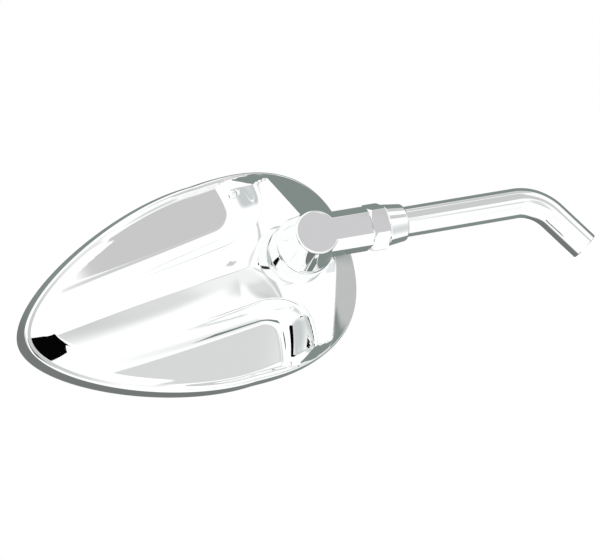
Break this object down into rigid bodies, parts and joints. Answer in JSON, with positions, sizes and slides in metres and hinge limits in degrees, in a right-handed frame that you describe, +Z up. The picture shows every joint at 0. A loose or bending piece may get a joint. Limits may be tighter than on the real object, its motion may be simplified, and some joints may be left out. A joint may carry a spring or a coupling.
{
  "type": "motorcycle mirror",
  "caption": "Teardrop motorcycle mirror: chromed cast head with scooped back and convex glass, on a ball joint and a turning knuckle at the end of a bent round stem.",
  "frame": {"origin": "centre of the stem's cut end, on the axis of its tapped hole", "axes": "+Z up along the stem's last leg, -Y towards the back of the mirror (the way the rider faces), +Y towards the glass and the rider, -X the way the arm reaches out"},
  "size_m": [0.2011, 0.0588, 0.1557],
  "materials": {
    "polished_chrome": "bright chrome plate over a polished casting",
    "turned_chrome": "chrome plate over turned steel",
    "zinc_steel": "plain zinc-plated steel, hidden inside the head",
    "spring_steel": "blued spring steel",
    "nylon_white": "moulded nylon bearing liner",
    "black_plastic": "moulded plastic backing plate",
    "foam_black": "closed-cell foam pad",
    "gasket_rubber": "black rubber gasket",
    "mirror_glass": "silvered convex glass"
  },
  "bodies": {
    "stem": {"stem": "turned_chrome", "stem_collar": "turned_chrome", "jam_nut": "turned_chrome"},
    "knuckle": {"knuckle": "polished_chrome", "ball_stud": "turned_chrome"},
    "skirt": {"skirt": "turned_chrome"},
    "liner": {"ball_liner": "nylon_white"},
    "head": {"housing": "polished_chrome", "pressure_cup": "zinc_steel", "disc_springs": "spring_steel", "spring_plate": "zinc_steel", "plate_screws": "zinc_steel", "backing_plate": "black_plastic", "foam_pad": "foam_black", "glass_gasket": "gasket_rubber", "mirror_glass": "mirror_glass", "pocket_plug": "turned_chrome"}
  },
  "joints": [
    {"name": "arm_swivel", "type": "hinge", "parent": "stem", "child": "knuckle", "pos_m": [-0.08413, 0, 0.08791], "axis": [0.8192, 0, -0.5736], "range_deg": [-60, 60]},
    {"name": "head_spin", "type": "hinge", "parent": "knuckle", "child": "skirt", "pos_m": [-0.08413, 0.0285, 0.08791], "axis": [0, -1, 0], "range_deg": [-60, 60]},
    {"name": "head_nod", "type": "hinge", "parent": "skirt", "child": "liner", "pos_m": [-0.08413, 0.0285, 0.08791], "axis": [1, 0, 0], "range_deg": [-17.5, 1.2]},
    {"name": "head_yaw", "type": "hinge", "parent": "liner", "child": "head", "pos_m": [-0.08413, 0.0285, 0.08791], "axis": [0, -0.1426, 0.9898], "range_deg": [-5.5, 5.5]}
  ]
}
